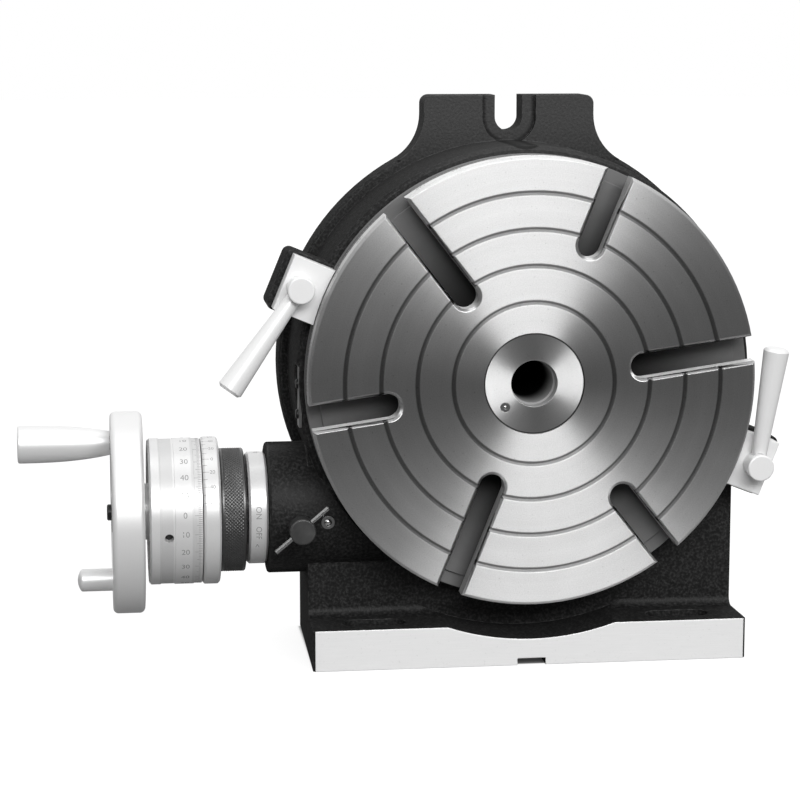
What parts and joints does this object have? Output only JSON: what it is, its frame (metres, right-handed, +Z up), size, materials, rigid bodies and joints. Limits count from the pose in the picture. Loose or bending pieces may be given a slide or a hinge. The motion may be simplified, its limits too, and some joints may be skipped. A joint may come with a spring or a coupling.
{
  "type": "rotary indexing table",
  "caption": "Worm-driven rotary table on a cast angle body, with T-slotted face, tapered centre, handwheel with dial and vernier, rim clamps and a disengaging sleeve.",
  "frame": {"origin": "centre of the table's face, on its axis", "axes": "+X along the worm away from the handwheel, +Y along the table's axis towards the back, +Z up from the foot"},
  "size_m": [0.4303, 0.1186, 0.315],
  "materials": {
    "black_paint": "black wrinkle paint",
    "table_iron": "fine turned",
    "ground_steel": "ground",
    "bearing_steel": "polished",
    "clamp_steel": "satin",
    "black_steel": "black oxide",
    "satin_chrome": "satin chrome",
    "cast_aluminium": "satin",
    "handle_aluminium": "turned",
    "bronze": "machined",
    "brass": "machined"
  },
  "bodies": {
    "root": {"body_casting": "black_paint", "rear_race_fixed": "bearing_steel", "rear_thrust_balls": "bearing_steel", "rear_cover": "black_steel", "rear_cover_screws": "black_steel", "housing_oiler_cup": "bearing_steel", "housing_oiler_ball": "bearing_steel", "index_plate": "satin_chrome", "index_plate_screws": "black_steel", "lock_screw_pad": "brass"},
    "table": {"table_plate": "table_iron", "spindle_sleeve": "ground_steel", "spindle_oiler_cup": "brass", "spindle_oiler_ball": "bearing_steel", "worm_wheel": "bronze", "worm_wheel_screws": "black_steel", "rear_race_turning": "bearing_steel", "spindle_lock_washer": "bearing_steel", "spindle_lock_nut": "black_steel"},
    "eccentric": {"eccentric_sleeve": "black_steel", "engage_collar": "satin_chrome", "collar_screw": "black_steel", "worm_race_fixed": "bearing_steel", "worm_thrust_balls": "bearing_steel", "worm_end_bush": "bronze", "worm_thrust_washer": "bronze"},
    "worm": {"worm_shaft": "ground_steel", "worm_race_turning": "bearing_steel", "worm_adjusting_nut": "black_steel", "handwheel": "cast_aluminium", "handwheel_key": "ground_steel", "handwheel_screw": "black_steel", "handwheel_washer": "ground_steel", "crank_handle_axle": "ground_steel", "finger_peg": "handle_aluminium"},
    "lock_ring": {"knurled_lock_ring": "black_steel"},
    "vernier": {"vernier_ring": "satin_chrome"},
    "dial": {"dial_drum": "satin_chrome", "dial_set_screw": "black_steel"},
    "handle_grip": {"crank_handle": "handle_aluminium"},
    "left_dog": {"left_clamp_dog": "clamp_steel"},
    "right_dog": {"right_clamp_dog": "clamp_steel"},
    "left_clamp": {"left_clamp_stud": "clamp_steel", "left_clamp_lever": "clamp_steel"},
    "right_clamp": {"right_clamp_stud": "clamp_steel", "right_clamp_lever": "clamp_steel"},
    "lock_screw": {"sleeve_lock_screw": "black_steel"},
    "tommy": {"tommy_bar": "bearing_steel"}
  },
  "joints": [
    {"name": "table_spin", "type": "hinge", "parent": "root", "child": "table", "pos_m": [0, 0, 0], "axis": [0, 1, 0], "continuous": true},
    {"name": "eccentric_turn", "type": "hinge", "parent": "root", "child": "eccentric", "pos_m": [0, 0.062, -0.078], "axis": [1, 0, 0], "range_deg": [0, 70]},
    {"name": "worm_spin", "type": "hinge", "parent": "eccentric", "child": "worm", "pos_m": [0, 0.058, -0.078], "axis": [1, 0, 0], "continuous": true},
    {"name": "dial_set", "type": "hinge", "parent": "worm", "child": "dial", "pos_m": [-0.2, 0.058, -0.078], "axis": [1, 0, 0], "continuous": true},
    {"name": "vernier_set", "type": "hinge", "parent": "eccentric", "child": "vernier", "pos_m": [-0.177, 0.058, -0.078], "axis": [1, 0, 0], "range_deg": [-30, 30]},
    {"name": "lock_ring_turn", "type": "hinge", "parent": "eccentric", "child": "lock_ring", "pos_m": [-0.165, 0.058, -0.078], "axis": [1, 0, 0], "range_deg": [0, 60]},
    {"name": "handle_grip_spin", "type": "hinge", "parent": "worm", "child": "handle_grip", "pos_m": [-0.258, 0.058, -0.038], "axis": [1, 0, 0], "continuous": true},
    {"name": "left_lever_turn", "type": "hinge", "parent": "root", "child": "left_clamp", "pos_m": [-0.12842, 0, 0.05319], "axis": [0, -1, 0], "range_deg": [-40, 29]},
    {"name": "right_lever_turn", "type": "hinge", "parent": "root", "child": "right_clamp", "pos_m": [0.12951, 0, -0.05049], "axis": [0, -1, 0], "range_deg": [-69, 0]},
    {"name": "left_dog_draw", "type": "slide", "parent": "root", "child": "left_dog", "axis": [0, 1, 0], "range_m": [-0.00015, 0.0002]},
    {"name": "right_dog_draw", "type": "slide", "parent": "root", "child": "right_dog", "axis": [0, 1, 0], "range_m": [-0.00005, 0.00035]},
    {"name": "lock_screw_turn", "type": "hinge", "parent": "root", "child": "lock_screw", "pos_m": [-0.1277, 0.0125, -0.0817], "axis": [0, -1, 0], "range_deg": [-60, 120]},
    {"name": "tommy_bar_slide", "type": "slide", "parent": "lock_screw", "child": "tommy", "axis": [0.766, 0, 0.6428], "range_m": [-0.009, 0.0065]}
  ],
  "couplings": [
    {"joint": "worm_spin", "follows": "table_spin", "ratio": 90},
    {"joint": "left_dog_draw", "follows": "left_lever_turn", "m_per_rad": -0.000239},
    {"joint": "right_dog_draw", "follows": "right_lever_turn", "m_per_rad": -0.000239}
  ]
}
